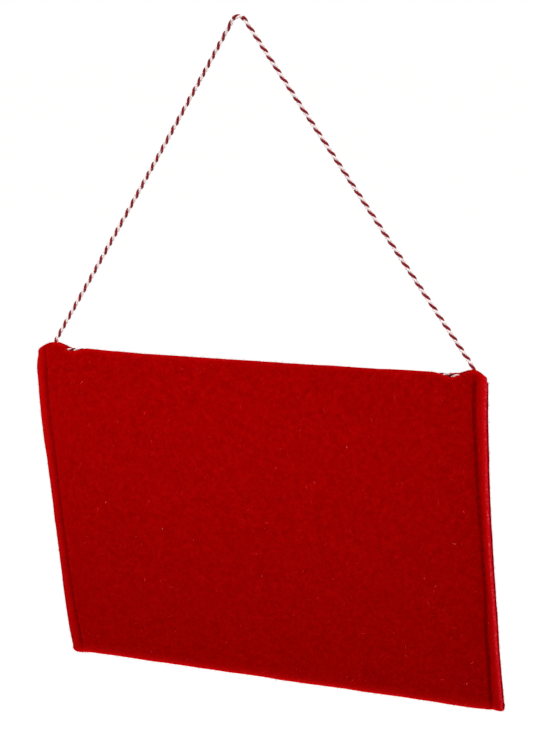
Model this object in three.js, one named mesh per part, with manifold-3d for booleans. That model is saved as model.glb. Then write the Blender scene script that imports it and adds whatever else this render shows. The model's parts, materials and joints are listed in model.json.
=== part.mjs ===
// A hanging felt pouch: one felt strip folded at the bottom, sewn down both sides with a lock stitch,
// and hung by a loop of twine whose ends are caught between the two layers at the top corners.
// Millimetres, +Z up, +X to the right and +Y away from the front. The origin is the point that the
// twine loop hangs from.

import * as THREE from "three";
import { mergeVertices } from "three/addons/utils/BufferGeometryUtils.js";
import Module from "manifold-3d";

const wasm = await Module();
wasm.setup();

// Felt strip
const feltThickness = 1.6;
const pouchHeight = 118.5; // front mouth edge to the outside of the fold
const backDip = 2.2; // how much lower the back mouth edge lies across the middle
const seamSpacing = 160; // stitch line to stitch line
const leftAllowance = 3.4; // stitch line to the cut side edge
const rightAllowance = 3.8;
const pocketGap = 4.8; // between the walls across the middle of the pocket
const layerGap = 0.3; // between the layers where they are sewn flat
const sewnMargin = 0.8; // how far inside the stitch line the layers stay flat
const shoulderInset = 5; // stitch line to where each wall stops rising steeply
const shoulderGap = 2.6; // between the walls there
const flatInset = 20; // stitch line to where the walls reach the full gap
const foldSegments = 6;
const leastColumn = 0.1; // section places nearer than this are one place

// Mouth edge, drawn up by the twine at both corners
const humpHeight = 1.6;
const humpWidth = 8; // from its peak to its inner foot
const humpSegments = 3;
const cornerDrop = 1.3; // how far the outer corners droop below the mouth edge

// Lock stitch
const stitchLength = 3;
const threadDiameter = 0.4;
const turnDiameter = 0.5; // the two strands of one thread that share a needle hole
const threadSides = 6;
const grooveLip = 0.1; // how far the groove is wider than the needle holes on each side
const threadSink = 0.1; // top of the thread below the face of the felt
const firstStitchDrop = 3.2; // mouth edge to the first needle hole
const lastStitchRise = 3.6; // outside of the fold to the lowest needle hole

// Twine loop
const twineDiameter = 1.5;
const hookToMouth = 112.3;
const hookOffset = 6.4; // the loop's top lies this far right of the pouch's middle
const hookBend = 2.7; // radius of the twine's middle line at the top of the loop
const leftExitInset = 5.4; // stitch line to where the twine leaves the mouth
const rightExitInset = 1;
const neckRise = 4.5; // between the two bends that let the loop fold down
const legSag = 0.4; // dip of each leg's middle below its straight line
const legStops = [0, 0.1, 0.22, 0.35, 0.48, 0.61, 0.74, 0.87]; // shares of each leg
const apexStops = [0, 0.25, 0.5, 0.75, 1]; // shares of the bend at the top
const tailRoute = [ // inwards and upwards from where the twine enters the mouth
  [0, 0], [0.27, -1.38], [1.05, -2.5], [2.2, -3.15], [3.5, -3.35], [4.9, -3.3],
  [6.3, -3.2], [7.7, -3.15], [9.1, -3.25], [10.4, -3.6], [11.6, -4.2],
];
const twineSides = 8;
const twineSteps = 78;
const tailSteps = 20;

// Clearances
const clearance = 0.3;
const cutReach = 1; // how far a cutter stands out of what it cuts

// Places worked out from the sizes above
const middleX = -hookOffset;
const mouthZ = -hookToMouth;
const foldZ = mouthZ - pouchHeight;
const seamX = { left: middleX - seamSpacing / 2, right: middleX + seamSpacing / 2 };
const inward = { left: 1, right: -1 };
const exitX = { left: seamX.left + leftExitInset, right: seamX.right - rightExitInset };
const edgeX = { left: seamX.left - leftAllowance, right: seamX.right + rightAllowance };
const twineRadius = twineDiameter / 2;
const threadRadius = threadDiameter / 2;
const entryZ = mouthZ + humpHeight;
const mouthAxisZ = entryZ + twineRadius + clearance;
const sewnFaceY = layerGap / 2 + feltThickness;

const materials = {
  felt: new THREE.MeshStandardMaterial({ color: 0xa80a0c, roughness: 0.95, metalness: 0 }),
  thread: new THREE.MeshStandardMaterial({ color: 0x8c0c0e, roughness: 0.7, metalness: 0 }),
  twine: new THREE.MeshStandardMaterial({ color: 0xd8b4b2, roughness: 0.9, metalness: 0 }),
};

// Solids: closed geometries joined and cut as manifolds

function solid(geometry) {
  const bare = geometry.clone();
  bare.deleteAttribute("normal");
  bare.deleteAttribute("uv");
  const merged = mergeVertices(bare, 1e-5);
  return new wasm.Manifold(new wasm.Mesh({
    numProp: 3,
    vertProperties: new Float32Array(merged.attributes.position.array),
    triVerts: new Uint32Array(merged.index.array),
  }));
}

function geometryOf(manifold) {
  const mesh = manifold.getMesh();
  const geometry = new THREE.BufferGeometry();
  geometry.setAttribute("position", new THREE.BufferAttribute(mesh.vertProperties, 3));
  geometry.setIndex(new THREE.BufferAttribute(mesh.triVerts, 1));
  geometry.computeVertexNormals();
  return geometry;
}

function piece(name, geometry, material) {
  const mesh = new THREE.Mesh(geometry, material);
  mesh.name = name;
  return mesh;
}

function roundSection(radius, sides) {
  const corners = Array.from({ length: sides }, (_, i) => {
    const angle = (2 * Math.PI * (i + 0.5)) / sides;
    return new THREE.Vector2(radius * Math.cos(angle), radius * Math.sin(angle));
  });
  return new THREE.Shape(corners);
}

function tubeAlong(points, radius, steps) {
  const path = new THREE.CatmullRomCurve3(points, false, "centripetal");
  return new THREE.ExtrudeGeometry(roundSection(radius, twineSides), { steps, extrudePath: path });
}

function ball(center) {
  return new THREE.SphereGeometry(twineRadius, twineSides, 6).translate(center.x, center.y, center.z);
}

// Felt pouch: a closed section of the folded strip, lofted from one side edge to the other

function easeBetween(stops, at) {
  const next = stops.findIndex(([place]) => place >= at);
  if (next <= 0) return next === 0 ? stops[0][1] : stops[stops.length - 1][1];
  const [fromPlace, fromValue] = stops[next - 1];
  const [toPlace, toValue] = stops[next];
  return fromValue + ((toValue - fromValue) * (at - fromPlace)) / (toPlace - fromPlace);
}

function nearerSide(x) {
  return x < middleX ? "left" : "right";
}

function insideSeam(x) {
  return seamSpacing / 2 - Math.abs(x - middleX);
}

// Half the gap between the walls, by how far inside the stitch line the place lies
function halfGap(x) {
  const stops = [
    [sewnMargin, layerGap],
    [shoulderInset, shoulderGap],
    [flatInset, pocketGap],
  ];
  return easeBetween(stops, insideSeam(x)) / 2;
}

// The back mouth edge is level with the front one at the seams and dips between them
function backDrop(x) {
  return easeBetween([[shoulderInset, 0], [flatInset, backDip]], insideSeam(x));
}

// Rise of the mouth edge: a smooth hump at the twine that ends inside in a level edge
// and outside in a drooping corner
function mouthRise(x) {
  const side = nearerSide(x);
  const inset = (x - exitX[side]) * inward[side];
  const reach = inset > 0 ? humpWidth : Math.abs(edgeX[side] - exitX[side]);
  const foot = inset > 0 ? 0 : -cornerDrop;
  const share = Math.min(1, Math.abs(inset) / reach);
  return foot + ((humpHeight - foot) * (1 + Math.cos(Math.PI * share))) / 2;
}

function columnPlaces() {
  const places = [];
  for (const side of ["left", "right"]) {
    const into = inward[side];
    for (const inset of [sewnMargin, shoulderInset, flatInset]) {
      places.push(seamX[side] + into * inset);
    }
    for (let i = 0; i <= humpSegments; i++) {
      places.push(exitX[side] + (into * humpWidth * i) / humpSegments);
      places.push(exitX[side] + ((edgeX[side] - exitX[side]) * i) / humpSegments);
    }
  }
  const sorted = places.sort((a, b) => a - b);
  return sorted.filter((x, i) => i === 0 || x - sorted[i - 1] > leastColumn);
}

function wallPath(x, offset) {
  const radius = halfGap(x) + offset;
  const centerZ = foldZ + halfGap(x) + feltThickness;
  const top = mouthZ + mouthRise(x);
  const path = [[-radius, top]];
  for (let i = 0; i <= foldSegments; i++) {
    const angle = Math.PI + (Math.PI * i) / foldSegments;
    path.push([radius * Math.cos(angle), centerZ + radius * Math.sin(angle)]);
  }
  path.push([radius, top - backDrop(x)]);
  return path;
}

function foldedStrip() {
  const columns = columnPlaces();
  const strip = foldSegments + 3;
  const ring = 2 * strip;
  const positions = [];
  for (const x of columns) {
    const outline = [...wallPath(x, feltThickness), ...wallPath(x, 0).reverse()];
    for (const [y, z] of outline) positions.push(x, y, z);
  }
  const triangles = [];
  const quad = (a, b, c, d) => triangles.push(a, c, b, a, d, c);
  for (let i = 0; i + 1 < columns.length; i++) {
    for (let j = 0; j < ring; j++) {
      const next = (j + 1) % ring;
      quad(i * ring + j, (i + 1) * ring + j, (i + 1) * ring + next, i * ring + next);
    }
  }
  const last = (columns.length - 1) * ring;
  for (let j = 0; j + 1 < strip; j++) {
    const across = ring - 1 - j;
    quad(j, j + 1, across - 1, across);
    quad(last + j, last + across, last + across - 1, last + j + 1);
  }
  const geometry = new THREE.BufferGeometry();
  geometry.setAttribute("position", new THREE.Float32BufferAttribute(positions, 3));
  geometry.setIndex(triangles);
  return geometry;
}

// Seams: needle holes through both layers, and a groove on each face that the thread is drawn into

const seamRun = pouchHeight - firstStitchDrop - lastStitchRise;
const stitchCount = Math.floor(seamRun / stitchLength);
const firstStitchZ = mouthZ - firstStitchDrop;
const lastStitchZ = firstStitchZ - stitchCount * stitchLength;
const turnRadius = turnDiameter / 2;
const holeRadius = (turnRadius + clearance) / Math.cos(Math.PI / threadSides);
const grooveWidth = 2 * (holeRadius + grooveLip);
const grooveDepth = threadSink + threadDiameter + clearance;

function stitchPlaces() {
  return Array.from({ length: stitchCount + 1 }, (_, i) => firstStitchZ - i * stitchLength);
}

function seamCutters(side) {
  const cutters = stitchPlaces().map((z) => {
    const holeLength = 2 * (sewnFaceY + cutReach);
    const hole = new THREE.CylinderGeometry(holeRadius, holeRadius, holeLength, threadSides);
    return hole.translate(seamX[side], 0, z);
  });
  const grooveLength = firstStitchZ - lastStitchZ + grooveWidth;
  for (const face of [-1, 1]) {
    const groove = new THREE.BoxGeometry(grooveWidth, grooveDepth + cutReach, grooveLength);
    const grooveY = face * (sewnFaceY + (cutReach - grooveDepth) / 2);
    cutters.push(groove.translate(seamX[side], grooveY, (firstStitchZ + lastStitchZ) / 2));
  }
  return cutters;
}

// One thread of a seam: it lies along the groove of its face and turns in at each needle hole,
// where it meets the other thread between the layers
function seamThread(side, face) {
  const threadY = sewnFaceY - threadSink - threadRadius;
  const lyingLength = firstStitchZ - lastStitchZ + threadDiameter;
  const lying = new THREE.ExtrudeGeometry(roundSection(threadRadius, threadSides), {
    depth: lyingLength,
    bevelEnabled: false,
  });
  lying.translate(seamX[side], face * threadY, lastStitchZ - threadRadius);
  let thread = solid(lying);
  const turnLength = threadY - clearance / 2;
  for (const z of stitchPlaces()) {
    const turn = new THREE.CylinderGeometry(turnRadius, turnRadius, turnLength, threadSides);
    turn.translate(seamX[side], face * (threadY - turnLength / 2), z);
    thread = thread.add(solid(turn));
  }
  return geometryOf(thread);
}

// Twine: a hanging loop, two short necks that fold over the mouth edge, and two ends inside

function tailPoints(side) {
  return tailRoute.map(([into, up]) => new THREE.Vector3(exitX[side] + inward[side] * into, 0, entryZ + up));
}

function tailChannel(side) {
  const points = tailPoints(side);
  const tip = points[points.length - 1];
  const beyond = tip.clone().sub(points[points.length - 2]).setLength(clearance).add(tip);
  const above = points[0].clone().add(new THREE.Vector3(0, 0, cutReach + clearance));
  return tubeAlong([above, ...points, beyond], twineRadius + clearance, tailSteps);
}

const hookCenter = new THREE.Vector3(0, 0, twineRadius - hookBend);

// Angle, round the middle of the top bend, where the straight leg from the mouth touches the bend
function touchAngle(side) {
  const start = new THREE.Vector3(exitX[side], 0, mouthAxisZ).sub(hookCenter);
  const away = Math.atan2(start.z, start.x);
  return away - inward[side] * Math.acos(hookBend / start.length());
}

function onHookBend(angle) {
  const spoke = new THREE.Vector3(Math.cos(angle), 0, Math.sin(angle));
  return spoke.multiplyScalar(hookBend).add(hookCenter);
}

const legFoot = {};
const legTop = {};
const neckTop = {};
for (const side of ["left", "right"]) {
  legFoot[side] = new THREE.Vector3(exitX[side], 0, mouthAxisZ);
  legTop[side] = onHookBend(touchAngle(side));
  const climb = neckRise / (legTop[side].z - mouthAxisZ);
  neckTop[side] = legFoot[side].clone().lerp(legTop[side], climb);
}

function loopPoints() {
  const leg = (side) => legStops.map((share) => {
    const point = neckTop[side].clone().lerp(legTop[side], share);
    point.z -= 4 * legSag * share * (1 - share);
    return point;
  });
  const fromAngle = touchAngle("left");
  const turn = ((touchAngle("right") - fromAngle) % (2 * Math.PI) - 2 * Math.PI) % (2 * Math.PI);
  const bend = apexStops.map((share) => onHookBend(fromAngle + turn * share));
  return [...leg("left"), ...bend, ...leg("right").reverse()];
}

function hangingLoop() {
  const tube = solid(tubeAlong(loopPoints(), twineRadius, twineSteps));
  return geometryOf(tube.add(solid(ball(neckTop.left))).add(solid(ball(neckTop.right))));
}

function neck(side) {
  const along = neckTop[side].clone().sub(legFoot[side]);
  const length = along.length() - twineRadius - clearance;
  const rod = new THREE.CylinderGeometry(twineRadius, twineRadius, length, twineSides);
  rod.translate(0, length / 2, 0);
  const turn = new THREE.Quaternion().setFromUnitVectors(new THREE.Vector3(0, 1, 0), along.normalize());
  rod.applyQuaternion(turn).translate(legFoot[side].x, legFoot[side].y, legFoot[side].z);
  return geometryOf(solid(rod).add(solid(ball(legFoot[side]))));
}

// Assembly

function feltPouch() {
  let strip = solid(foldedStrip());
  for (const side of ["left", "right"]) {
    for (const cutter of [...seamCutters(side), tailChannel(side)]) {
      strip = strip.subtract(solid(cutter));
    }
  }
  return geometryOf(strip);
}

const pouch = new THREE.Group();
pouch.add(piece("felt_pouch", feltPouch(), materials.felt));
const hanger = new THREE.Group();
hanger.add(piece("hanging_twine", hangingLoop(), materials.twine));
for (const side of ["left", "right"]) {
  pouch.add(piece(`${side}_needle_thread`, seamThread(side, -1), materials.thread));
  pouch.add(piece(`${side}_bobbin_thread`, seamThread(side, 1), materials.thread));
  const tail = tubeAlong(tailPoints(side), twineRadius, tailSteps);
  pouch.add(piece(`${side}_twine_end`, tail, materials.twine));
  hanger.add(piece(`${side}_twine_neck`, neck(side), materials.twine));
}

const ornament = new THREE.Group();
ornament.add(hanger, pouch);

export default ornament;
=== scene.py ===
"""A hanging red felt pouch: one folded felt strip, two sewn side seams and a twisted twine loop.

Sizes are millimetres in the part's own frame and meshes are written in metres. The origin is the point
that the twine loop hangs from, +X runs to the right along the mouth, +Y to the back and +Z up.
"""

import json

import bpy
import numpy as np
from mathutils import Matrix, Vector


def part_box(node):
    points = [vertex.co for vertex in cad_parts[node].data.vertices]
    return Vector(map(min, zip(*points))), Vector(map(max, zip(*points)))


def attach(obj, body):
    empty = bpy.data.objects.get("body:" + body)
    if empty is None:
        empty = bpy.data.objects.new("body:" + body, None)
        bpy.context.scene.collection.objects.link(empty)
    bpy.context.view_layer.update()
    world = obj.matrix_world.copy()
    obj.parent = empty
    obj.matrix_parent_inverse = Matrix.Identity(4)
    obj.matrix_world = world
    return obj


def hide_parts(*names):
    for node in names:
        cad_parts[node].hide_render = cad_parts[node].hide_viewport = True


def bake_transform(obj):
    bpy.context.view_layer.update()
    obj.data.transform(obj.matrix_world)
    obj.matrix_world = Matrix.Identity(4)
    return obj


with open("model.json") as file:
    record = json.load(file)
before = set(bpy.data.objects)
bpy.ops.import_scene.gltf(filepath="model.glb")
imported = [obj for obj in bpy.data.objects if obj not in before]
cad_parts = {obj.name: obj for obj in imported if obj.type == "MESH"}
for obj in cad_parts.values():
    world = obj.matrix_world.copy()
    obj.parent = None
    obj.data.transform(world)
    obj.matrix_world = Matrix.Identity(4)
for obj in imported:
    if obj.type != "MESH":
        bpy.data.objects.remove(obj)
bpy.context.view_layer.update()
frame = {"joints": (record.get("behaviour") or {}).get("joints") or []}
scene = bpy.context.scene
scene.view_settings.view_transform = "Standard"

# Felt strip
# One strip of needle-punched red felt, folded once so that the fold is the bottom of the pouch.
# It is cut with shears, so its edges are furry, and it hangs from its two top corners with a slight bow.
MM = 0.001
felt_low, felt_high = (np.array(corner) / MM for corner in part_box("felt_pouch"))
felt_thickness = 1.6
thread_half = 0.25
first_stitch_drop = 3.2
stitch_length = 3.0
twine_radius = 0.75
seam_x = {}
for side in ("left", "right"):
    thread_low, thread_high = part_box(f"{side}_needle_thread")
    seam_x[side] = (thread_low.x + thread_high.x) / 2 / MM
exit_x = {
    "left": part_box("left_twine_neck")[0].x / MM + twine_radius,
    "right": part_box("right_twine_neck")[1].x / MM - twine_radius,
}
inwards = {"left": 1, "right": -1}
middle_x = (seam_x["left"] + seam_x["right"]) / 2
half_width = (seam_x["right"] - seam_x["left"]) / 2
first_hole_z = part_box("right_needle_thread")[1].z / MM - thread_half
mouth_z = first_hole_z + first_stitch_drop
fold_z = felt_low[2]
pouch_height = mouth_z - fold_z

# Rise of each layer's mouth edge above the mouth line, by the distance inwards from the seam
front_mouth = {
    "left": [
        (-3.7, -2.5), (-2.5, -1.35), (-0.6, -0.35), (1.6, 0.6), (4.7, 1.5), (6.1, 1.6), (8.2, 1.15),
        (9.4, 0.7), (10.0, 0.2), (10.5, -0.8), (11.3, -1.05), (12.8, -1.0), (14.5, -0.75), (16.1, -0.25),
        (17.6, 0.3), (19, 0.4), (23, 0.2), (39, 0), (85, -0.1),
    ],
    "right": [
        (-4.6, -2.8), (-4.2, -1.9), (-2.9, -0.3), (-1.6, 0.8), (-0.2, 1.35), (1.1, 1.05), (2.0, 0.6),
        (2.9, 0), (3.9, -0.35), (4.9, -0.65), (5.7, -1.05), (6.4, -1.2), (8.0, -1.1), (9.3, -0.65),
        (10.6, -0.15), (12.0, 0.2), (15.6, 0.35), (33, 0.2), (81, -0.1),
    ],
}
back_mouth = {
    "left": [
        (-3.7, -2.6), (-2.3, -1.3), (-0.6, -0.4), (1.6, 0.2), (4.1, 0.3), (6.0, -0.4), (7.8, -1.25),
        (9.3, -1.85), (11.7, -2.2), (17.7, -2.3), (25, -2.3), (85, -2.2),
    ],
    "right": [
        (-4.4, -4.3), (-4.0, -3.8), (-2.6, -2.5), (-1.0, -0.6), (0.6, 0.25), (2.4, 0.1), (4.2, -0.5),
        (5.7, -1.15), (7.9, -1.5), (12.6, -2.0), (21, -2.3), (81, -2.2),
    ],
}

# How far each seam strays to the right of its straight line, and each cut edge outwards, by the distance
# down from the mouth
seam_stray = {
    "left": [
        (0, 1.6), (6, 1.1), (16, 0.35), (26, 0.2), (35, 0.45), (54, 0.45), (72, 0.25), (84, 0.2),
        (100, 0.5), (108, 1.05), (120, 1.5),
    ],
    "right": [
        (0, 0.6), (6, 0.3), (14, -0.1), (22, 0.05), (31, 0.1), (40, 0.2), (48, 0.3), (57, 0.55),
        (65, 0.45), (73, 0.75), (82, 0.4), (90, 0), (98, 0.3), (107, 0.1), (114, 0.2), (120, 0.3),
    ],
}
edge_stray = {
    "left": [
        (0, 0), (10, 0.1), (17, 0.2), (25, 0.4), (33, 0.3), (41, 0), (74, 0), (98, 0.3), (105, 0.3),
        (110, 0.1), (114, -0.2), (120, -0.65),
    ],
    "right": [
        (0, 0.8), (4, 0.7), (8, 0.5), (12, 0.35), (24, 0.1), (34, -0.1), (88, -0.05), (100, 0),
        (114, 0.35), (120, 0.4),
    ],
}

# How far the fold hangs below its straight line, by the distance inwards from the cut edge
fold_droop = {
    "left": [(0, 0.7), (4, 0.75), (8, 0.3), (13, 0.15), (30, 0.15)],
    "right": [(0, 0.2), (4, 0.2), (8, 0.3), (13, 0.3), (20, 0.2), (30, 0.15)],
}


def eased(stops, at):
    """Value between given stops: cubic stretches whose slope at a stop follows its neighbours."""
    places, values = np.array(stops, float).T
    slopes = np.gradient(values, places)
    at = np.clip(at, places[0], places[-1])
    stop = np.clip(np.searchsorted(places, at) - 1, 0, len(places) - 2)
    span = places[stop + 1] - places[stop]
    share = (at - places[stop]) / span
    straight = values[stop] + (values[stop + 1] - values[stop]) * share ** 2 * (3 - 2 * share)
    return straight + span * share * (1 - share) * (slopes[stop] * (1 - share) - slopes[stop + 1] * share)


def bell(distance, reach, height=1.0):
    """A bell: the height times e to the minus square of the distance counted in reaches."""
    return height * np.exp(-((distance / reach) ** 2))


def ripple(place, wavelength, seed):
    """Mean of three sines around one wavelength with seeded phases: a soft wave within -1 and 1."""
    phases = np.random.default_rng(seed).uniform(0, 2 * np.pi, 3)
    turns = 2 * np.pi * np.asarray(place)[..., None] / (wavelength * np.array([1.0, 0.61, 1.83]))
    return np.sin(turns + phases).mean(axis=-1)


def mouth_rise(stops, x):
    """Mouth edge above the mouth line: the left stops on the left half and the right stops on the right."""
    from_left = eased(stops["left"], x - seam_x["left"])
    from_right = eased(stops["right"], seam_x["right"] - x)
    return np.where(x < middle_x, from_left, from_right)


def seam_line(side, z):
    """A seam's place along X at a height: its straight line and its stray."""
    return seam_x[side] + eased(seam_stray[side], mouth_z - z)


bow_reach = 2.96
bow_share = 0.6
bow_lean = 1.6


def bow(z):
    """Bow of the hanging pouch along Y: a parabola over the upper share of its height and a straight lean,
    so that it is level at the mouth, forward a third of the way down and back at the fold."""
    down = (mouth_z - z) / pouch_height
    return bow_reach * (np.maximum(0, 1 - down / bow_share) ** 2 - 1) + bow_lean * bow_reach * down


# Space between the layers: at the seams and outside them, in the pocket, with the height over which it
# closes towards the fold and by what share, and in the swell over the twine at the mouth
layer_gap = 0.3
drawn_reach = 1.5
drawn_share = 0.9
splay_reach = 3.1
splay_rise = 0.1
pocket_gap = 4.8
pillow_reach = 7.0
sewn_margin = 0.8
fold_taper = 30.0
fold_close = 0.7
swell_shift = 1.2
swell_reach = 2.6
swell_drop = 3.4
swell_rise = 0.95


def half_gap(x, z):
    """Half the space between the layers: drawn shut at the seams, splayed by a square outside them, a tanh
    rise inside them that closes towards the fold as a bell, and a swell over the twine, the last two joined
    as the cube root of the sum of their cubes."""
    inset = half_width - np.abs(x - middle_x)
    pillow = (pocket_gap - layer_gap) / 2 * np.tanh(np.maximum(inset - sewn_margin, 0) / pillow_reach)
    pillow = pillow * (1 - bell(z - fold_z, fold_taper, fold_close))
    splay = splay_rise * (np.maximum(-inset, 0) / splay_reach) ** 2
    swell = 0
    for side, way in inwards.items():
        across = bell(x - exit_x[side] - way * swell_shift, swell_reach, swell_rise)
        swell = swell + across * np.exp(-np.maximum(0, (mouth_z - z) / swell_drop) ** 3)
    drawn = layer_gap / 2 * (1 - bell(inset, drawn_reach, drawn_share))
    return drawn + splay + (pillow ** 3 + swell ** 3) ** (1 / 3)


# Groove that the stitches draw, how far below the mouth it comes in, and what is left of it at the fold
pull_depth = 0.9
pull_inner_reach = 0.65
pull_outer_reach = 0.95
hole_dip = 0.14
seam_fade = {"left": 9.0, "right": 4.0}
fold_pull = 0.2
fold_pull_rise = 0.8
fold_pull_span = 1.4


def seam_pull(x, z):
    """Depth of the groove that the stitches draw: a bell across the seam, wider on the side of the cut edge
    and deepest at each needle hole, that fades in below the mouth and nearly out at the fold."""
    at_holes = 1 - hole_dip + hole_dip * np.cos(2 * np.pi * (z - first_hole_z) / stitch_length)
    above_fold = np.clip((z - fold_z - fold_pull_rise) / fold_pull_span, 0, 1)
    depth = 0
    for side, way in inwards.items():
        inset = way * (x - seam_line(side, z))
        groove = bell(inset, np.where(inset > 0, pull_inner_reach, pull_outer_reach), pull_depth)
        depth = depth + groove * np.clip((mouth_z - z) / seam_fade[side], 0, 1)
    return depth * at_holes * (fold_pull + (1 - fold_pull) * above_fold)


def strip_places(spans):
    """Places along one line: each span is (from, to, step), divided evenly, with shared ends kept once."""
    runs = [np.linspace(a, b, max(2, int(round(abs(b - a) / step)) + 1)) for a, b, step in spans]
    return np.concatenate([runs[0]] + [run[1:] for run in runs[1:]])


rim = np.array([0.0, 0.05, 0.16, 0.32, 0.5])
groove_reach = 2.4
corner_reach = 16
edge_step = 0.35
groove_step = 0.26
corner_step = 0.45
plain_step = 2.6


def strip_columns():
    """X places across the strip: close at the cut edges and the seams, wide over the plain middle."""
    left, right = felt_low[0] + rim[-1], felt_high[0] - rim[-1]
    left_seam, right_seam = seam_x["left"], seam_x["right"]
    spans = [
        (left, left_seam - groove_reach, edge_step),
        (left_seam - groove_reach, left_seam + groove_reach, groove_step),
        (left_seam + groove_reach, left_seam + corner_reach, corner_step),
        (left_seam + corner_reach, right_seam - corner_reach, plain_step),
        (right_seam - corner_reach, right_seam - groove_reach, corner_step),
        (right_seam - groove_reach, right_seam + groove_reach, groove_step),
        (right_seam + groove_reach, right, edge_step),
    ]
    return np.concatenate([felt_low[0] + rim[:-1], strip_places(spans), felt_high[0] - rim[-2::-1]])


shoulder_reach = 2.4
shoulder_drop = 0.15
rim_power = 2.6


def rim_share(distance):
    """Share of the half thickness by the distance from a cut edge: a squarish half round, which is a circle
    with a higher power, and an eased shoulder."""
    away = 1 - np.clip(distance / rim[-1], 0, 1)
    shoulder = 1 - shoulder_drop * np.maximum(0, 1 - distance / shoulder_reach) ** 2
    return shoulder * (1 - away ** rim_power) ** (1 / rim_power)


wall_run = 116.0
row_step = 0.9
fold_steps = 18
strip_steps = np.concatenate([rim[:-1], strip_places([(rim[-1], wall_run, row_step)])]) / wall_run
fold_turn = np.pi * (1 + np.linspace(0, 1, fold_steps)[1:-1])
front_rows = len(strip_steps)
fold_rows = len(fold_turn)

# Waves of the fold, the mouth's edges, the sheared sides and the walls: how far they stray and where
fold_wave = 0.1
mouth_wave = 0.07
shears_wave = 0.07
shears_reach = 4
shears_shift = 30
wall_wave = 0.22
wall_wave_slant = 0.4
wall_wave_start = 0.2
wall_wave_fade = 30

# Bottom corners, and how the top left corner narrows towards the mouth
corner_radius = {"left": 1.3, "right": 0.5}
corner_taper = 1.2
taper_across = 2.5
taper_down = 3.6

# How far the front layer's right edge stands past the back layer's, by the height above the fold, and how
# much more it does at the top corner. Then how far both right edges and the back's left edge are set in,
# how fast this fades inside the edges, and the distance from the mouth that the fold's rows count as
edge_lead = [(0, 0.1), (60, -0.06), (120, -0.06)]
corner_lead = 0.3
corner_lead_down = 8
right_inset = 0.38
back_inset = 0.3
edge_fade = 1.8
fold_from_mouth = 9.0


def corner_round(distance, radius):
    """Lift of the fold by the distance from a side edge: the quarter circle of a rounded corner."""
    return radius * (1 - np.sqrt(1 - np.maximum(0, 1 - distance / radius) ** 2))


def felt_grid():
    """Middle surface of the folded strip: rows run down the front, round a half-circle fold and up the back.
    Returns the points, their distances from the nearer side edge and from the mouth's edge, and which way
    they face, from -1 at the front to 1 at the back."""
    x = strip_columns()[None, :]
    from_left, from_right = x - felt_low[0], felt_high[0] - x
    corner_lift = corner_round(from_left, corner_radius["left"])
    corner_lift = corner_lift + corner_round(from_right, corner_radius["right"])
    droop = eased(fold_droop["left"], from_left) + eased(fold_droop["right"], from_right)
    radius = half_gap(x, fold_z) + felt_thickness / 2
    centre_z = fold_z + corner_lift - droop + radius + felt_thickness / 2
    centre_z = centre_z + fold_wave * ripple(x, wavelength=17, seed=3)
    front_top = mouth_z + mouth_rise(front_mouth, x) + mouth_wave * ripple(x, wavelength=11, seed=4)
    back_top = mouth_z + mouth_rise(back_mouth, x) + mouth_wave * ripple(x, wavelength=13, seed=5)
    down = strip_steps[:, None]
    front_z = front_top + (centre_z - front_top) * down
    back_z = (back_top + (centre_z - back_top) * down)[::-1]
    turn = fold_turn[:, None]
    z = np.concatenate([front_z, centre_z + radius * np.sin(turn), back_z])
    front_y = -(half_gap(x, front_z) + felt_thickness / 2)
    back_y = half_gap(x, back_z) + felt_thickness / 2
    y = np.concatenate([front_y, radius * np.cos(turn), back_y]) + bow(z)
    at_fold = np.full_like(radius * turn, fold_from_mouth)
    from_mouth = np.concatenate([front_top - front_z, at_fold, back_top - back_z])
    facing = np.concatenate([-np.ones(front_rows), np.cos(fold_turn), np.ones(front_rows)])[:, None]
    lead = bell(from_mouth, corner_lead_down, corner_lead) + eased(edge_lead, z - fold_z)
    right_slip = eased(edge_stray["right"], mouth_z - z) - right_inset + lead * np.clip(-facing, 0, 1)
    left_slip = back_inset / 2 * (1 + facing) - eased(edge_stray["left"], mouth_z - z)
    taper = corner_taper * np.exp(-from_left / taper_across) * bell(from_mouth, taper_down)
    edge = np.minimum(from_left, from_right)
    shears = shears_wave * ripple(z + shears_shift * facing, wavelength=15, seed=6)
    x = x + right_slip * np.exp(-from_right / edge_fade) + left_slip * np.exp(-from_left / edge_fade)
    x = x + taper + shears * np.maximum(0, 1 - edge / shears_reach)
    wave = wall_wave * ripple(x + wall_wave_slant * z, wavelength=47, seed=7)
    y = y + wave * np.clip(edge / wall_wave_fade - wall_wave_start, 0, 1)
    points = np.stack([x, y, z], axis=-1)
    return points, np.broadcast_to(edge, z.shape), from_mouth, np.broadcast_to(facing, z.shape)


def unit(rows):
    """Rows scaled to a length of one."""
    return rows / np.linalg.norm(rows, axis=-1, keepdims=True)


def outward(grid):
    """Unit normals of a grid of points: the cross product of its row and column directions."""
    rows, columns = np.gradient(grid, axis=0), np.gradient(grid, axis=1)
    return unit(np.cross(rows, columns))


def quads(index):
    """Quad corners of a grid of vertex numbers, in the order that faces outwards."""
    corners = [index[:-1, :-1], index[1:, :-1], index[1:, 1:], index[:-1, 1:]]
    return np.stack(corners, axis=-1).reshape(-1, 4)


def put_mesh(name, points, faces, material):
    """Writes points in millimetres and lists of faces as one smooth mesh object at the origin."""
    mesh = bpy.data.meshes.new(name)
    corners = [face for group in faces for face in group.tolist()]
    mesh.from_pydata((points * MM).tolist(), [], corners)
    mesh.polygons.foreach_set("use_smooth", np.ones(len(corners), bool))
    mesh.materials.append(material)
    made = bpy.data.objects.new(name, mesh)
    scene.collection.objects.link(made)
    return made


def put_values(made, name, values):
    """Stores one number, or one row of three, for each vertex as a named attribute."""
    kind, key = ("FLOAT", "value") if values.ndim == 1 else ("FLOAT_VECTOR", "vector")
    attribute = made.data.attributes.new(name, kind, "POINT")
    attribute.data.foreach_set(key, values.astype(np.float32).reshape(-1))


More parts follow.
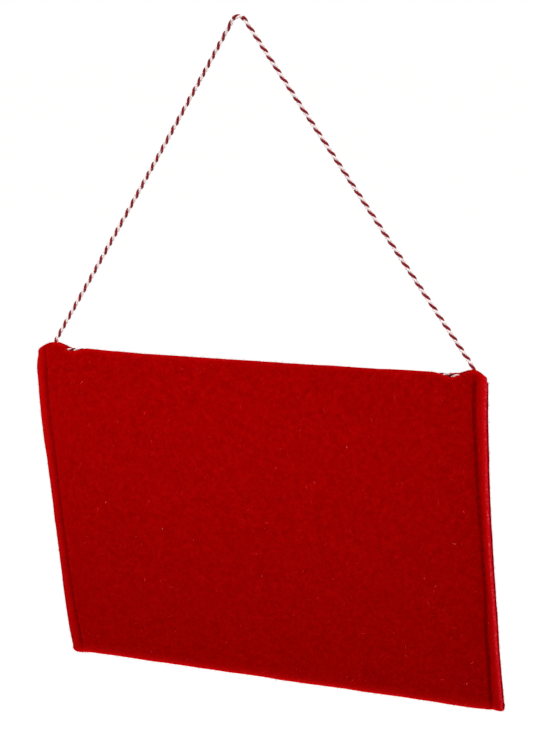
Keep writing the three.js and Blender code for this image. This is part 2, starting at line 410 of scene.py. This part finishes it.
def colour(code):
    """A hex sRGB colour as linear red, green, blue and alpha."""
    srgb = np.array([int(code[i : i + 2], 16) for i in (1, 3, 5)]) / 255
    linear = np.where(srgb <= 0.04045, srgb / 12.92, ((srgb + 0.055) / 1.055) ** 2.4)
    return (*linear.tolist(), 1.0)


def add(tree, kind, inputs, stops=(), **settings):
    """Adds one node, sets its properties and its ramp's (place, hex colour) stops, and fills its inputs with
    values or with other nodes' outputs."""
    made = tree.nodes.new(kind)
    for name, value in settings.items():
        setattr(made, name, value)
    for number, (place, code) in enumerate(stops):
        elements = made.color_ramp.elements
        element = elements[number] if number < len(elements) else elements.new(place)
        element.position = place
        element.color = colour(code)
    for socket, value in inputs.items():
        if isinstance(value, bpy.types.NodeSocket):
            tree.links.new(value, made.inputs[socket])
        else:
            made.inputs[socket].default_value = value
    return made


# Size and bend of the tufts that the needles packed, of the clumps in them and of the curled fibres, which
# are drawn coarser than real ones so that they show
tuft_size, tuft_bend = 2.6, 0.8
clump_size, clump_bend = 1.3, 0.5
fibre_size, fibre_bend = 0.6, 1.4
# Tints over the mottle, each (attribute, strength, colour): a painted highlight on the edges and the fold,
# painted shade in the seams' grooves, pale fibres with a painted highlight on the front layer's cut faces,
# and painted shade on the back layer's cut edges
felt_tints = [
    ("painted_edge_highlight", 0.7, "#d8080c"),
    ("painted_seam_shade", 0.37, "#680000"),
    ("cut_fibres_and_highlight", 1.0, "#d0081a"),
    ("painted_back_edge_shade", 1.0, "#800009"),
]


def felt_material():
    """Needle felt of dyed wool and polyester: a matte mat of curled fibres, faintly mottled where needles
    packed it, with a nap that brightens at grazing angles. Each tint is (attribute, strength, colour): a
    painted highlight of lighter red on the front's edges and on the fold, painted shade of darker red in the
    seams' grooves and on the back layer's cut edges, and on the front layer's cut side faces pale broken
    fibres with a painted highlight."""
    material = bpy.data.materials.new("needle felt, red")
    material.use_nodes = True
    tree = material.node_tree
    shader = tree.nodes["Principled BSDF"]
    place = add(tree, "ShaderNodeTexCoord", {}).outputs["Object"]
    scales = ((tuft_size, tuft_bend), (clump_size, clump_bend), (fibre_size, fibre_bend))
    tuft, clump, fibre = (
        add(
            tree, "ShaderNodeTexNoise",
            {"Vector": place, "Scale": 1 / (size * MM), "Detail": 3.0, "Roughness": 0.6, "Distortion": bend},
        ).outputs["Fac"]
        for size, bend in scales
    )
    packed = add(tree, "ShaderNodeMath", {0: tuft, 1: fibre}, operation="ADD").outputs[0]
    clumped = add(tree, "ShaderNodeMath", {0: clump, 1: 0.4}, operation="MULTIPLY").outputs[0]
    mottle = add(tree, "ShaderNodeMath", {0: packed, 1: 0.3, 2: clumped}, operation="MULTIPLY_ADD")
    body = add(
        tree, "ShaderNodeValToRGB", {"Fac": mottle.outputs[0]},
        stops=[(0.35, "#900000"), (0.5, "#a20101"), (0.65, "#b40404")],
    ).outputs["Color"]
    for name, strength, tint in felt_tints:
        amount = add(tree, "ShaderNodeAttribute", {}, attribute_name=name).outputs["Fac"]
        share = add(
            tree, "ShaderNodeMath", {0: amount, 1: strength}, operation="MULTIPLY", use_clamp=True,
        ).outputs[0]
        mixed = add(tree, "ShaderNodeMix", {0: share, 6: body, 7: colour(tint)}, data_type="RGBA")
        body = mixed.outputs[2]
    # Pale broken fibres, where the fibre noise runs high, on the front layer's cut side faces only; the back
    # layer's cut faces are left without them as painted shade
    cut = add(tree, "ShaderNodeAttribute", {}, attribute_name="cut_fibres_and_highlight").outputs["Fac"]
    broken = add(
        tree, "ShaderNodeMath", {0: fibre, 1: 14.0, 2: -8.1}, operation="MULTIPLY_ADD", use_clamp=True,
    ).outputs[0]
    pale = add(tree, "ShaderNodeMath", {0: broken, 1: cut}, operation="MULTIPLY").outputs[0]
    dyed = add(tree, "ShaderNodeMix", {0: pale, 6: body, 7: colour("#f45a66")}, data_type="RGBA")
    tree.links.new(dyed.outputs[2], shader.inputs["Base Color"])
    lumps = add(tree, "ShaderNodeBump", {"Height": tuft, "Strength": 0.25, "Distance": 0.2 * MM})
    hairs = add(
        tree, "ShaderNodeBump",
        {"Height": fibre, "Strength": 0.4, "Distance": 0.1 * MM, "Normal": lumps.outputs["Normal"]},
    )
    tree.links.new(hairs.outputs["Normal"], shader.inputs["Normal"])
    shader.inputs["Roughness"].default_value = 0.95
    shader.inputs["Specular IOR Level"].default_value = 0.0
    shader.inputs["Sheen Weight"].default_value = 0.8
    shader.inputs["Sheen Roughness"].default_value = 0.35
    shader.inputs["Sheen Tint"].default_value = colour("#ff1010")
    return material


cut_slant = 0.25
slant_reach = 1.2


def slanted_cut():
    """Sideways lean of the front layer's right edge, which the shears cut at a slant: it fades as a bell
    inside the edge."""
    from_right = felt_high[0] - strip_columns()[None, :]
    lean = bell(from_right, slant_reach, cut_slant) * np.clip(-strip_facing, 0, 1) * strip_share
    return lean[..., None] * np.array([1.0, 0.0, 0.0])


strip_middle, strip_edge, strip_mouth, strip_facing = felt_grid()
strip_share = rim_share(strip_edge) * rim_share(strip_mouth)
strip_normal = outward(strip_middle)
strip_half = strip_normal * (felt_thickness / 2 * strip_share)[..., None] - slanted_cut()
strip_pull = seam_pull(strip_middle[..., 0], strip_middle[..., 2]) * strip_share
strip_outer = strip_middle + strip_half - strip_normal * strip_pull[..., None]
strip_inner = strip_middle - strip_half

# How far the painted highlight reaches from each edge and from the fold, and how strong it is there. The
# highlight is a lighter red that stands in for light caught by the fuzz where the felt turns away
left_highlight = (2.8, 0.75)
right_highlight = (1.5, 1.0)
mouth_highlight = (0.9, 0.3)
fold_highlight = (2.2, 0.95)
# Depth from the cut edge of the front layer's pale fibres and painted highlight and of the painted shade on
# the back layer's cut edges, and the share of the first that the inner face gets
cut_depth = 0.2
back_shade_depth = 0.3
inner_cut_share = 0.4


def felt_strip():
    """The strip's outer and inner faces: the middle surface moved half the thickness each way along its
    normal, closing to nothing at the cut edges, with the seams' grooves drawn into the outer face."""
    size = strip_edge.shape
    outer_index = np.arange(size[0] * size[1]).reshape(size)
    border = np.ones(size, bool)
    border[1:-1, 1:-1] = False
    inner_index = np.where(border, outer_index, outer_index + outer_index.size)
    faces = np.concatenate([quads(outer_index), quads(inner_index)[:, ::-1]])
    used, faces = np.unique(faces, return_inverse=True)
    points = np.concatenate([strip_outer.reshape(-1, 3), strip_inner.reshape(-1, 3)])[used]
    height = strip_middle[..., 2] - strip_middle[..., 2].min(axis=0)
    x = strip_columns()
    on_front = np.where(strip_facing < 0, 1.0, 0.0)
    on_sides = bell(x - felt_low[0], *left_highlight) + bell(felt_high[0] - x, *right_highlight)
    highlight_edges = np.maximum(on_sides, bell(strip_mouth, *mouth_highlight))
    values = {
        # The front layer's cut faces: pale broken fibres, and a lighter red that is a painted highlight
        "cut_fibres_and_highlight": on_front * np.clip(1.2 - strip_edge / cut_depth, 0, 1),
        # Painted shade: a darker red on the back layer's cut edges
        "painted_back_edge_shade": (1 - on_front) * np.clip(1.2 - strip_edge / back_shade_depth, 0, 1),
        # Painted highlight: a lighter red on the front's sides and mouth and on the fold
        "painted_edge_highlight": np.maximum(on_front * highlight_edges, bell(height, *fold_highlight)),
        # Painted shade in the seams' grooves: a darker red, as deep as the groove
        "painted_seam_shade": strip_pull,
    }
    made = put_mesh("felt_strip", points, [faces.reshape(-1, 4)], felt_material())
    for name, outer in values.items():
        inner = inner_cut_share * outer if name == "cut_fibres_and_highlight" else outer
        put_values(made, name, np.concatenate([outer.reshape(-1), inner.reshape(-1)])[used])
    return made


felt = felt_strip()
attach(felt, "pouch")
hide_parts("felt_pouch")

# Felt nap
# Loose wool and polyester fibres on the felt's faces and fold, and more along the edges that were cut.
# A real fibre is 0.02 mm thick and wouldn't show, so these are drawn 0.07 mm thick, the tufts of bright
# ones 0.16 mm and the pale slubs, small clumps that took up less dye, 0.2 mm.
nap_radius = 0.035
tuft_radius = 0.08
slub_radius = 0.1
root_depth = 0.05
nap_upright = np.array([1.8, 1.0, 1.0])
nap_curl = 0.6
tip_thinning = 0.7
fibre_sides = 3
fibre_rings = np.array([0.0, 0.35, 0.7, 1.0])
fibre_points = fibre_sides * len(fibre_rings)
nap_random = np.random.default_rng(21)
nap_normal = outward(strip_outer)


def scattered(count, row_weight, column_weight):
    """Seeded places on the felt's outer face: a cell of its grid by weight, then a share of each side."""
    row = nap_random.choice(len(row_weight), count, p=row_weight / row_weight.sum())
    column = nap_random.choice(len(column_weight), count, p=column_weight / column_weight.sum())
    along, across = nap_random.uniform(0, 1, (2, count, 1))
    start = strip_outer[row, column]
    down = strip_outer[row + 1, column] - start
    aside = strip_outer[row, column + 1] - start
    return start + along * down + across * aside, nap_normal[row, column]


def fibres(root, way, aside, length, radius):
    """Fibres as thin three-sided tubes: each runs from its root along its way, bends aside with the square
    of the share run, and thins to its tip. Returns points, then quads round the tubes and triangles over
    their ends."""
    run = length[:, None] * fibre_rings
    bent = aside[:, None] * (run * fibre_rings)[..., None]
    middle = root[:, None] + way[:, None] * run[..., None] + bent
    first = unit(np.cross(way, aside))[:, None, None]
    second = unit(np.cross(first, way[:, None, None]))
    angle = np.linspace(0, 2 * np.pi, fibre_sides, endpoint=False)[:, None]
    ring = np.cos(angle) * first + np.sin(angle) * second
    thick = radius[:, None] * (1 - tip_thinning * fibre_rings)
    points = middle[:, :, None] + thick[:, :, None, None] * ring
    index = np.arange(fibre_points).reshape(-1, fibre_sides)
    sides = quads(np.concatenate([index, index[:, :1]], axis=1))
    ends = np.stack([index[0], index[-1, ::-1]])
    step = fibre_points * np.arange(len(root))[:, None, None]
    return points.reshape(-1, 3), [(sides + step).reshape(-1, 4), (ends + step).reshape(-1, fibre_sides)]


def nap_material():
    """Single dyed fibres: matte, each of its own shade, from the felt's red to the pink of the slubs."""
    material = bpy.data.materials.new("felt fibres, red to pink")
    material.use_nodes = True
    tree = material.node_tree
    shader = tree.nodes["Principled BSDF"]
    shade = add(tree, "ShaderNodeAttribute", {}, attribute_name="fibre_shade").outputs["Fac"]
    dyed = add(
        tree, "ShaderNodeValToRGB", {"Fac": shade},
        stops=[(0.0, "#9c0000"), (0.75, "#bc0a0c"), (0.95, "#ff2c30"), (1.0, "#f88084")],
    ).outputs["Color"]
    tree.links.new(dyed, shader.inputs["Base Color"])
    shader.inputs["Roughness"].default_value = 0.9
    shader.inputs["Specular IOR Level"].default_value = 0.1
    return material


def felt_nap():
    """All the loose fibres: each group is (count, lowest and highest length, how far they stand, radius,
    lowest and highest shade, where). The nap lies more up and down than across."""
    every_row = np.ones(strip_outer.shape[0] - 1)
    every_column = np.diff(strip_columns())
    on_sides = np.zeros_like(every_column)
    on_sides[[0, 1, 2, -3, -2, -1]] = 1
    on_mouth = np.zeros_like(every_row)
    on_mouth[[0, 1, 2, -3, -2, -1]] = 1
    on_fold = np.zeros_like(every_row)
    on_fold[front_rows : front_rows + fold_rows] = 1
    groups = [
        (3200, 0.5, 1.6, 0.22, nap_radius, 0.0, 0.8, every_row, every_column),
        (1500, 0.3, 0.9, 0.8, nap_radius, 0.0, 0.8, every_row, on_sides),
        (900, 0.3, 0.9, 0.8, nap_radius, 0.0, 0.8, on_mouth, every_column),
        (700, 0.4, 1.2, 0.6, nap_radius, 0.0, 0.8, on_fold, every_column),
        (1400, 0.5, 1.3, 0.12, tuft_radius, 0.76, 0.955, every_row, every_column),
        (80, 0.5, 1.1, 0.11, slub_radius, 0.94, 1.0, every_row, every_column),
    ]
    root, way, length, thick, shade = [], [], [], [], []
    for count, shortest, longest, stand, radius, darkest, lightest, row_weight, column_weight in groups:
        place, normal = scattered(count, row_weight, column_weight)
        lying = unit(np.cross(normal, nap_random.normal(size=(count, 3)) * nap_upright))
        root.append(place - root_depth * normal)
        way.append(unit(stand * normal + lying))
        length.append(nap_random.uniform(shortest, longest, count))
        thick.append(np.full(count, radius))
        shade.append(nap_random.uniform(darkest, lightest, count))
    root, way, length, thick, shade = (np.concatenate(part) for part in (root, way, length, thick, shade))
    aside = nap_curl * unit(np.cross(way, nap_random.normal(size=way.shape)))
    points, faces = fibres(root, way, aside, length, thick)
    made = put_mesh("felt_nap", points, faces, nap_material())
    put_values(made, "fibre_shade", np.repeat(shade, fibre_points))
    return made


nap = felt_nap()
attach(nap, "pouch")

# Seam threads
# Two polyester threads lock each side seam: the needle thread lies on the front and the bobbin thread on the
# back, both drawn into the felt, and each dives into a needle hole every 3 mm.
thread_radius = 0.2
thread_sides = 8
thread_start = 0.4
last_stitch_rise = 3.6
stitch_steps = 12
stitch_slant = 0.1
hole_depth = 0.34
arch_rise = 0.38
arch_power = 0.6
twist_size = 0.5


def tube(path, across, radius, sides):
    """Rings of points along a path: circles on the frame of its tangent and a fixed direction across."""
    tangent = unit(np.gradient(path, axis=0))
    first = unit(np.cross(tangent, across))
    second = np.cross(first, tangent)
    angle = np.linspace(0, 2 * np.pi, sides, endpoint=False)[:, None]
    ring = np.cos(angle) * first[:, None] + np.sin(angle) * second[:, None]
    return path[:, None] + radius * ring


def tube_faces(rows, sides):
    """Quads round a tube of rings and across its first and last rings."""
    index = np.arange(rows * sides).reshape(rows, sides)
    around = quads(np.concatenate([index, index[:, :1]], axis=1))
    near = np.arange(sides // 2 - 1)
    across = np.stack([near, near + 1, sides - 2 - near, sides - 1 - near], axis=-1)
    return np.concatenate([around, across, across[:, ::-1] + (rows - 1) * sides])


def thread_material():
    """Red polyester sewing thread, dyed like the felt that it sinks into: dull and finely twisted."""
    material = bpy.data.materials.new("polyester sewing thread, red")
    material.use_nodes = True
    tree = material.node_tree
    shader = tree.nodes["Principled BSDF"]
    place = add(tree, "ShaderNodeTexCoord", {}).outputs["Object"]
    twist = add(
        tree, "ShaderNodeTexNoise", {"Vector": place, "Scale": 1 / (twist_size * MM), "Detail": 2.0},
    ).outputs["Fac"]
    dyed = add(tree, "ShaderNodeValToRGB", {"Fac": twist}, stops=[(0.3, "#960002"), (0.7, "#a60305")])
    tree.links.new(dyed.outputs["Color"], shader.inputs["Base Color"])
    shader.inputs["Roughness"].default_value = 0.8
    shader.inputs["Specular IOR Level"].default_value = 0.02
    return material


def seam_thread(side, wall, name, material):
    """One thread of a seam: it rides in its groove and dips at each needle hole like a row of shallow
    arches, each a sine with a low power, and slants from hole to hole as a cosine."""
    z = np.arange(first_hole_z + thread_start, fold_z + last_stitch_rise, -stitch_length / stitch_steps)
    x = seam_line(side, z)
    arch = np.abs(np.sin(np.pi * (z - first_hole_z) / stitch_length)) ** arch_power
    face = half_gap(x, z) + felt_thickness - seam_pull(x, z)
    y = wall * (face - hole_depth + arch_rise * arch) + bow(z)
    slant = stitch_slant * np.cos(np.pi * (z - first_hole_z) / stitch_length)
    path = np.stack([x + slant, y, z], axis=-1)
    points = tube(path, np.array([1.0, 0, 0]), thread_radius, thread_sides)
    return put_mesh(name, points.reshape(-1, 3), [tube_faces(len(z), thread_sides)], material)


thread = thread_material()
for side in ("left", "right"):
    for wall, kind in ((-1, "needle"), (1, "bobbin")):
        stitches = seam_thread(side, wall, f"{side}_{kind}_stitches", thread)
        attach(stitches, "pouch")
        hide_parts(f"{side}_{kind}_thread")

# Twine
# One length of two-ply cotton twine, one ply dyed red and one left white, laid left-handed, about 4 mm to a
# turn. It hangs on its middle, and each end goes in at a top corner, turns inwards and lies along the mouth.
top_bend = 2.7
bend_points = 9
stretch_points = 60
leg_sag = 0.4
route_step = 0.24
hinges = {joint["name"]: np.array(joint["pos_m"]) / MM for joint in frame["joints"]}
neck_z = hinges["loop_fold"][2]
mouth_axis_z = hinges["mouth_fold"][2]
entry_drop = 0.3
entry_z = mouth_axis_z - twine_radius - entry_drop
tail_route = [
    (-0.55, 0), (-0.7, -1.15), (-0.35, -2.3), (0.65, -3.1), (2.05, -3.4), (3.5, -3.35), (4.9, -3.3),
    (6.3, -3.2), (7.7, -3.1), (9.1, -3.1), (10.4, -3.2), (11.6, -3.6),
]
leg_stops = np.array([0, 0.1, 0.22, 0.35, 0.48, 0.61, 0.74, 0.87])

# Turns of the lay from the left end, by the length run: such twine is a little tighter in some places than
# in others
lay_turns = [
    (0, -0.1), (4.4, 1.15), (7.7, 2.15), (17.9, 4.65), (34.6, 8.65), (51.5, 12.65), (67.8, 16.65),
    (84.3, 20.65), (99.2, 24.65), (114.7, 28.65), (130.2, 32.65), (144.2, 36.65), (162, 40.8),
    (177.4, 44.8), (193, 48.8), (208.7, 52.8), (224.2, 56.8), (239.6, 60.8), (255.1, 64.8), (270.9, 68.8),
    (286, 72.8), (298.7, 76.15), (302.2, 77.15), (305.1, 78),
]


def touch_angle(side):
    """Angle round the middle of the top bend where the straight leg from the mouth touches it."""
    away = np.array([exit_x[side], mouth_axis_z - (twine_radius - top_bend)])
    return np.arctan2(away[1], away[0]) - inwards[side] * np.arccos(top_bend / np.hypot(*away))


def on_bend(angle):
    """Points of the circle of the top bend, as x and z."""
    return np.stack([top_bend * np.cos(angle), top_bend * np.sin(angle) + twine_radius - top_bend], axis=-1)


def half_route(side):
    """Points from a twine end's tip to the top of its leg, as x and z: the tail, then up to the neck's top,
    then a straight line lowered by a parabola that dips most at the leg's middle."""
    tail = np.array(tail_route)[::-1] * [inwards[side], 1] + [exit_x[side], entry_z]
    foot = np.array([exit_x[side], mouth_axis_z])
    top = on_bend(touch_angle(side))
    neck = foot + (top - foot) * (neck_z - mouth_axis_z) / (top[1] - mouth_axis_z)
    leg = neck + (top - neck) * leg_stops[:, None]
    leg[:, 1] -= 4 * leg_sag * leg_stops * (1 - leg_stops)
    return np.concatenate([tail, foot[None], leg])


def smooth_route(points, step):
    """A curve through the points in even steps (Catmull-Rom: each stretch follows its neighbours)."""
    ends = np.concatenate([2 * points[:1] - points[1:2], points, 2 * points[-1:] - points[-2:-1]])
    before, start, end, after = (ends[i : len(points) - 1 + i, None] for i in range(4))
    t = np.linspace(0, 1, stretch_points, endpoint=False)[None, :, None]
    curve = 0.5 * (
        2 * start + (end - before) * t + (2 * before - 5 * start + 4 * end - after) * t ** 2
        + (3 * start - before - 3 * end + after) * t ** 3
    )
    curve = np.concatenate([curve.reshape(-1, points.shape[1]), points[-1:]])
    run = np.concatenate([[0], np.cumsum(np.linalg.norm(np.diff(curve, axis=0), axis=1))])
    even = np.linspace(0, run[-1], int(run[-1] / step) + 1)
    return np.stack([np.interp(even, run, column) for column in curve.T], axis=-1), even


left_turn = touch_angle("left") % (2 * np.pi)
right_turn = touch_angle("right") % (2 * np.pi)
right_turn -= 2 * np.pi * (right_turn > left_turn)
over_top = on_bend(np.linspace(left_turn, right_turn, bend_points))
flat_route = np.concatenate([half_route("left"), over_top, half_route("right")[::-1]])
flat_curve, twine_run = smooth_route(flat_route, route_step)
twine_curve = np.stack([flat_curve[:, 0], np.zeros(len(flat_curve)), flat_curve[:, 1]], axis=-1)
twine_phase = -2 * np.pi * eased(lay_turns, twine_run)
white_radius = 0.43
red_radius = 0.46
ply_offset = 0.3
ply_gap = 0.02
ply_slant = 1.12
ply_swell = 0.04
ply_sides = 16
ply_around = np.linspace(0, 2 * np.pi, ply_sides, endpoint=False)


def ply_points(turn_start, radius, seed):
    """One ply: a circle flattened where it meets the other ply and stretched sideways by its slant, turned
    round the twine's middle line as it goes along it, left-handed."""
    depth = np.array([0.0, 1.0, 0.0])
    lateral = np.cross(depth, unit(np.gradient(twine_curve, axis=0)))
    phase = (turn_start + twine_phase)[:, None]
    away = np.cos(phase) * lateral + np.sin(phase) * depth
    sideways = np.sin(phase) * lateral - np.cos(phase) * depth
    slub = radius * (1 + ply_swell * ripple(twine_run, wavelength=7, seed=seed)[:, None])
    reach = np.maximum(ply_offset + slub * np.cos(ply_around), ply_gap / 2)
    width = ply_slant * slub * np.sin(ply_around)
    return twine_curve[:, None] + reach[..., None] * away[:, None] + width[..., None] * sideways[:, None]


# Yarn streaks: their size in the attribute yarn_place, the radius of its circle round the ply, and how far
# it runs along the ply for each millimetre
streak_size = 0.2
streak_round = 0.5
streak_along = 0.15


def ply_material(name, dark, light):
    """Soft spun cotton: matte, with fine yarn streaks along the ply and a little fuzz at grazing angles."""
    material = bpy.data.materials.new(name)
    material.use_nodes = True
    tree = material.node_tree
    shader = tree.nodes["Principled BSDF"]
    along = add(tree, "ShaderNodeAttribute", {}, attribute_name="yarn_place").outputs["Vector"]
    streak = add(
        tree, "ShaderNodeTexNoise", {"Vector": along, "Scale": 1 / streak_size, "Detail": 3.0},
    ).outputs["Fac"]
    dyed = add(tree, "ShaderNodeValToRGB", {"Fac": streak}, stops=[(0.3, dark), (0.7, light)])
    tree.links.new(dyed.outputs["Color"], shader.inputs["Base Color"])
    bump = add(tree, "ShaderNodeBump", {"Height": streak, "Strength": 0.12, "Distance": 0.06 * MM})
    tree.links.new(bump.outputs["Normal"], shader.inputs["Normal"])
    shader.inputs["Roughness"].default_value = 0.95
    shader.inputs["Specular IOR Level"].default_value = 0.05
    shader.inputs["Sheen Weight"].default_value = 0.25
    shader.inputs["Sheen Roughness"].default_value = 0.5
    return material


# The white ply's faint pink is a painted reflection of the red ply beside it
white_ply = ply_material("cotton ply, undyed white", "#fae2e1", "#fff0ee")
red_ply = ply_material("cotton ply, dyed red", "#7b1019", "#971b25")
plies = [ply_points(0.0, white_radius, seed=9), ply_points(np.pi, red_radius, seed=10)]


def twine_stretch(name, first, last):
    """Both plies between two steps of the twine, as one mesh with a material for each ply."""
    rows = last - first + 1
    faces = tube_faces(rows, ply_sides)
    points = np.concatenate([ply[first : last + 1].reshape(-1, 3) for ply in plies])
    made = put_mesh(name, points, [faces, faces + rows * ply_sides], white_ply)
    made.data.materials.append(red_ply)
    made.data.polygons.foreach_set("material_index", np.repeat([0, 1], len(faces)).astype(np.int32))
    around = np.broadcast_to(ply_around, (rows, ply_sides))
    run = np.broadcast_to(streak_along * twine_run[first : last + 1, None], (rows, ply_sides))
    yarn = np.stack([streak_round * np.cos(around), streak_round * np.sin(around), run], axis=-1)
    yarn = yarn.reshape(-1, 3)
    put_values(made, "yarn_place", np.concatenate([yarn, yarn]))
    return made


split_z = (neck_z + mouth_axis_z) / 2
above = np.flatnonzero(twine_curve[:, 2] > split_z)
loop_first, loop_last = above[0], above[-1]
loop = twine_stretch("twine_loop", loop_first, loop_last)
left_end = twine_stretch("left_twine_tail", 0, loop_first)
right_end = twine_stretch("right_twine_tail", loop_last, len(twine_curve) - 1)
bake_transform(loop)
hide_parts("hanging_twine", "left_twine_neck", "right_twine_neck")
for tail, side in ((left_end, "left"), (right_end, "right")):
    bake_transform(tail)
    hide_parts(f"{side}_twine_end")

# Studio
# A plain white paper floor well below the hanging pouch and a white surround, with a soft key lamp in front
# and above, a strip lamp close in front, and a soft box on each side, behind and below, so that every face
# is lit.
floor_drop = 1.3
floor_reach = 8.0
floor_glow = 0.82
surround_light = 0.2
floor_square = ((-1, -1), (1, -1), (1, 1), (-1, 1))
floor_corners = [(floor_reach * x, floor_reach * y, -floor_drop) for x, y in floor_square]
floor_mesh = bpy.data.meshes.new("floor")
floor_mesh.from_pydata(floor_corners, [], [(0, 1, 2, 3)])
floor = bpy.data.objects.new("floor", floor_mesh)
scene.collection.objects.link(floor)


def seen_share(tree):
    """1 for rays from the camera, reflections and glass, and 0 for light that falls on things."""
    path = add(tree, "ShaderNodeLightPath", {}).outputs
    seen = path["Is Camera Ray"]
    for ray in ("Is Glossy Ray", "Is Transmission Ray"):
        seen = add(tree, "ShaderNodeMath", {0: seen, 1: path[ray]}, operation="MAXIMUM").outputs[0]
    return seen


def paper_material():
    """White paper floor: matte off-white that takes the pouch's shadow, with a glow that only the camera and
    reflections see, which brings it up to plain white."""
    material = bpy.data.materials.new("white paper")
    material.use_nodes = True
    tree = material.node_tree
    tree.nodes.remove(tree.nodes["Principled BSDF"])
    matte = add(tree, "ShaderNodeBsdfDiffuse", {"Color": colour("#f4f4f2")}).outputs[0]
    glow = add(tree, "ShaderNodeMath", {0: seen_share(tree), 1: floor_glow}, operation="MULTIPLY").outputs[0]
    white = add(tree, "ShaderNodeEmission", {"Color": (1, 1, 1, 1), "Strength": glow}).outputs[0]
    both = add(tree, "ShaderNodeAddShader", {0: matte, 1: white}).outputs[0]
    tree.links.new(both, tree.nodes["Material Output"].inputs["Surface"])
    return material


floor_mesh.materials.append(paper_material())
world = bpy.data.worlds.new("white surround")
world.use_nodes = True
sky = world.node_tree
surround = sky.nodes["Background"]
level = add(
    sky, "ShaderNodeMath", {0: seen_share(sky), 1: 1.0 - surround_light, 2: surround_light},
    operation="MULTIPLY_ADD",
)
surround.inputs["Color"].default_value = (1, 1, 1, 1)
sky.links.new(level.outputs[0], surround.inputs["Strength"])
scene.world = world


def soft_lamp(name, place, aim, wide, tall, power):
    """A soft box of a width and height at a place, facing an aim point, in metres and watts."""
    lamp = bpy.data.lights.new(name, "AREA")
    lamp.shape = "RECTANGLE"
    lamp.size = wide
    lamp.size_y = tall
    lamp.energy = power
    made = bpy.data.objects.new(name, lamp)
    made.location = place
    made.rotation_euler = (Vector(aim) - Vector(place)).to_track_quat("-Z", "Y").to_euler()
    scene.collection.objects.link(made)


pouch_middle = (-0.01, 0, -0.15)
soft_lamp("key_lamp", (-0.12, -0.22, 0.35), pouch_middle, wide=0.4, tall=0.4, power=1.8)
soft_lamp("strip_lamp", (-0.03, -0.15, -0.132), (-0.03, 0, -0.137), wide=0.3, tall=0.06, power=0.138)
soft_lamp("left_box", (-0.7, -0.25, 0.05), pouch_middle, wide=0.5, tall=0.5, power=1.4)
soft_lamp("right_box", (0.7, 0.0, 0.0), pouch_middle, wide=0.5, tall=0.5, power=3.3)
soft_lamp("back_box", (0.1, 0.8, 0.2), pouch_middle, wide=0.6, tall=0.6, power=6.0)
soft_lamp("low_box", (0, 0.01, -0.6), (0, 0, -0.15), wide=0.4, tall=0.08, power=1.7)

# Camera
# A long lens on the right and above, tipped a few degrees as the photograph is. Its place, its angles and
# the lens were fitted to the outline of the pouch and the legs of the loop.
azimuth, elevation, roll = np.radians([27.191, 17.125, -4.545])
camera_place = np.array([0.29118, -0.56505, 0.07776])
sensor_width = 36.0
lens_length = 133.37
ahead = np.array([-np.sin(azimuth), np.cos(azimuth), 0.0])
forward = ahead * np.cos(elevation) - np.array([0.0, 0.0, np.sin(elevation)])
level_right = np.array([np.cos(azimuth), np.sin(azimuth), 0.0])
level_up = np.cross(level_right, forward)
right = np.cos(roll) * level_right + np.sin(roll) * level_up
up = np.cos(roll) * level_up - np.sin(roll) * level_right
camera_data = bpy.data.cameras.new("camera")
camera_data.sensor_fit = "HORIZONTAL"
camera_data.sensor_width = sensor_width
camera_data.lens = lens_length
camera = bpy.data.objects.new("camera", camera_data)
turn = Matrix((right.tolist(), up.tolist(), (-forward).tolist())).transposed().to_4x4()
camera.matrix_world = Matrix.Translation(camera_place.tolist()) @ turn
scene.collection.objects.link(camera)
scene.camera = camera
